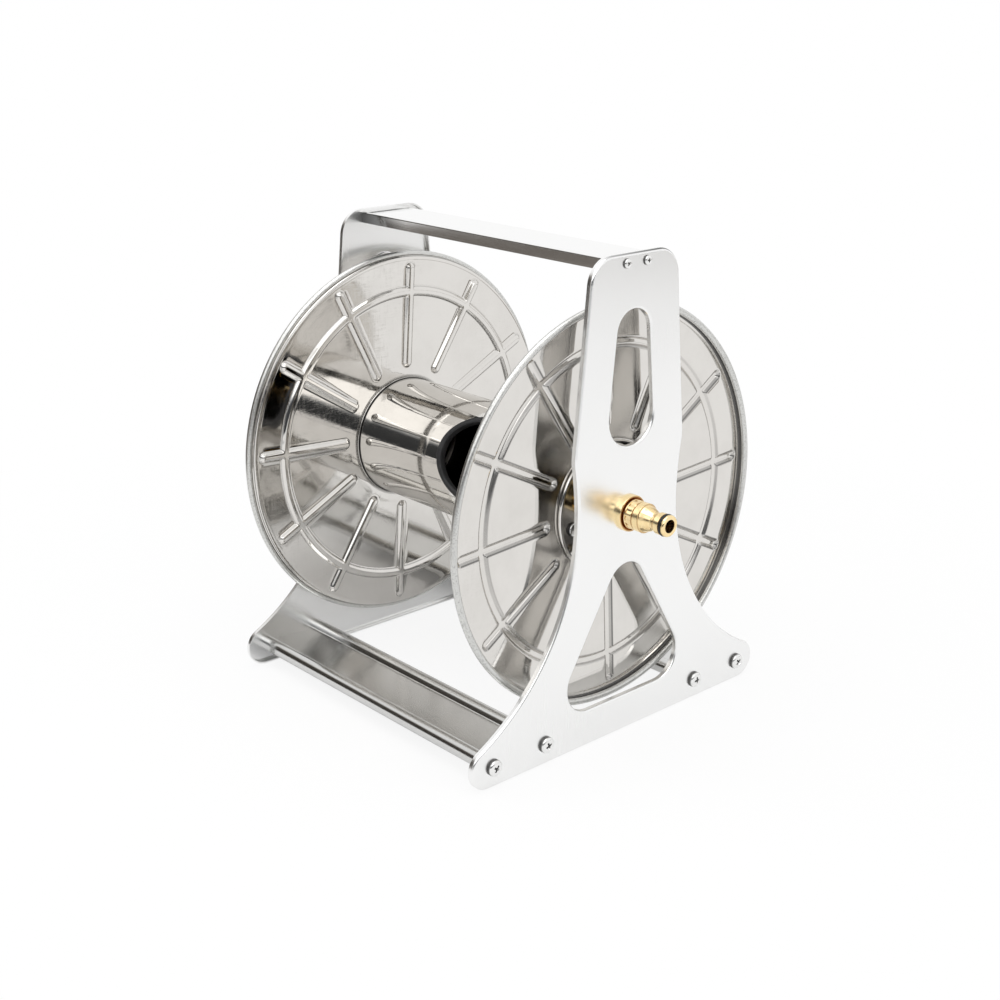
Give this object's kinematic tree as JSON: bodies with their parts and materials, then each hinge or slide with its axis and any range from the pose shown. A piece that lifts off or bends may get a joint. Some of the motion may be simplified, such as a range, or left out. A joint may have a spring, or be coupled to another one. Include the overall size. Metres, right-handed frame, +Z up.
{
  "type": "hose reel",
  "caption": "Free-standing steel hose reel: two side plates on curled base rails hold a flanged drum that turns on a brass water swivel and is wound by a hand crank.",
  "frame": {"origin": "on the floor, midway between the two side plates and midway along their feet", "axes": "+X along the drum axis towards the brass water inlet, +Y to the far base rail, +Z up"},
  "size_m": [0.4185, 0.306, 0.36],
  "materials": {
    "plate_steel": "bright satin stainless sheet",
    "rail_steel": "polished stainless sheet",
    "drum_steel": "bright rolled stainless sheet, pressed",
    "plated_steel": "zinc plated",
    "screw_steel": "polished stainless",
    "spring_steel": "phosphated spring steel",
    "brass": "bright turned brass",
    "black_rubber": "moulded rubber",
    "black_nylon": "moulded nylon"
  },
  "bodies": {
    "frame": {"side_plate_inlet": "plate_steel", "side_plate_crank": "plate_steel", "base_rail_near": "rail_steel", "base_rail_far": "rail_steel", "carry_bar": "rail_steel", "rail_plugs": "plated_steel", "rail_screws_inlet": "screw_steel", "rail_screws_crank": "screw_steel", "bar_screws_inlet": "screw_steel", "bar_screws_crank": "screw_steel", "swivel_stem": "brass", "inlet_washer": "brass", "inlet_nut": "brass", "inlet_nipple": "brass", "nipple_seal": "black_rubber", "swivel_seals": "black_rubber", "swivel_circlip": "spring_steel", "crank_bush": "black_nylon", "bush_nut": "black_nylon"},
    "drum": {"drum_tube": "drum_steel", "hose_grommet": "black_rubber", "flange_inlet": "drum_steel", "flange_crank": "drum_steel", "drum_end_inlet": "drum_steel", "drum_end_crank": "drum_steel", "hub_screws_inlet": "screw_steel", "hub_screws_crank": "screw_steel", "swivel_housing": "brass", "feed_pipe": "brass", "outlet_elbow": "brass", "hose_tail": "brass", "crank_axle": "plated_steel", "crank_arm": "plated_steel", "axle_washer": "plated_steel", "axle_nut": "plated_steel", "grip_pin": "plated_steel", "pin_nut": "plated_steel"},
    "grip": {"crank_grip": "black_nylon"}
  },
  "joints": [
    {"name": "drum_spin", "type": "hinge", "parent": "frame", "child": "drum", "pos_m": [0, 0, 0.173], "axis": [1, 0, 0], "continuous": true},
    {"name": "grip_spin", "type": "hinge", "parent": "drum", "child": "grip", "pos_m": [-0.2, 0, 0.083], "axis": [1, 0, 0], "continuous": true}
  ]
}
